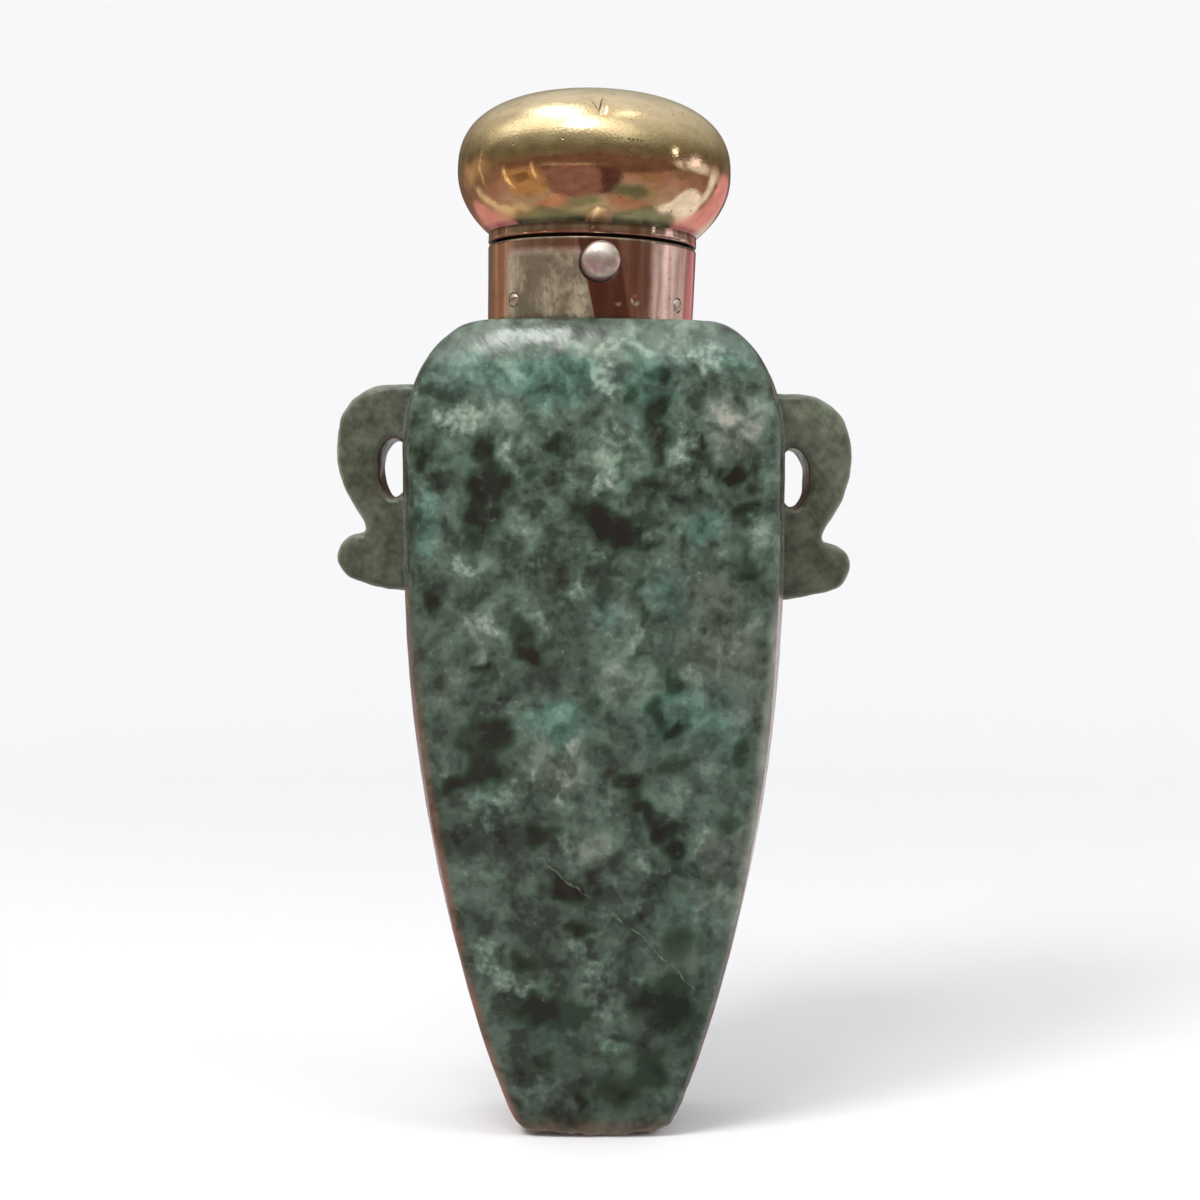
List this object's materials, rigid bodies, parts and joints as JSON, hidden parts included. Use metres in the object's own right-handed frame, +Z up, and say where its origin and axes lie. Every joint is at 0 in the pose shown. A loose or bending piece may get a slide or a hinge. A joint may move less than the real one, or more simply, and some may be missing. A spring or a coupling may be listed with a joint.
{
  "type": "perfume bottle",
  "caption": "Flattened, tapering carved stone scent bottle with pierced scroll side handles, a gilt collar with a front push button, and a hollow domed gilt lid hinged at the back.",
  "frame": {"origin": "middle of the flat underside that the bottle stands on, below the middle of the whole bottle's box", "axes": "+Z up along the bottle's height, +X towards the handle on the viewer's right, +Y towards the back, so the push button looks towards -Y"},
  "size_m": [0.0484, 0.026, 0.0978],
  "materials": {
    "moss_agate": "polished, mottled green, slightly translucent",
    "gilt": "worn polished gilding over silver",
    "silver": "polished silver, lightly worn"
  },
  "bodies": {
    "bottle_body": {"bottle": "moss_agate", "collar": "gilt", "hinge_pin": "silver", "screw_left": "silver", "screw_right": "silver", "screw_back": "silver"},
    "lid_body": {"lid": "gilt"},
    "button_body": {"push_button": "silver"}
  },
  "joints": [
    {"name": "lid_hinge", "type": "hinge", "parent": "bottle_body", "child": "lid_body", "pos_m": [-0.00105, 0.01117, 0.08322], "axis": [-0.9966, -0.0785, 0.0261], "range_deg": [0, 105]},
    {"name": "button_press", "type": "slide", "parent": "bottle_body", "child": "button_body", "axis": [-0.0784, 0.9969, 0.0021], "range_m": [0, 0.0008], "stiffness_N_per_m": 150, "springref_m": -0.001}
  ]
}
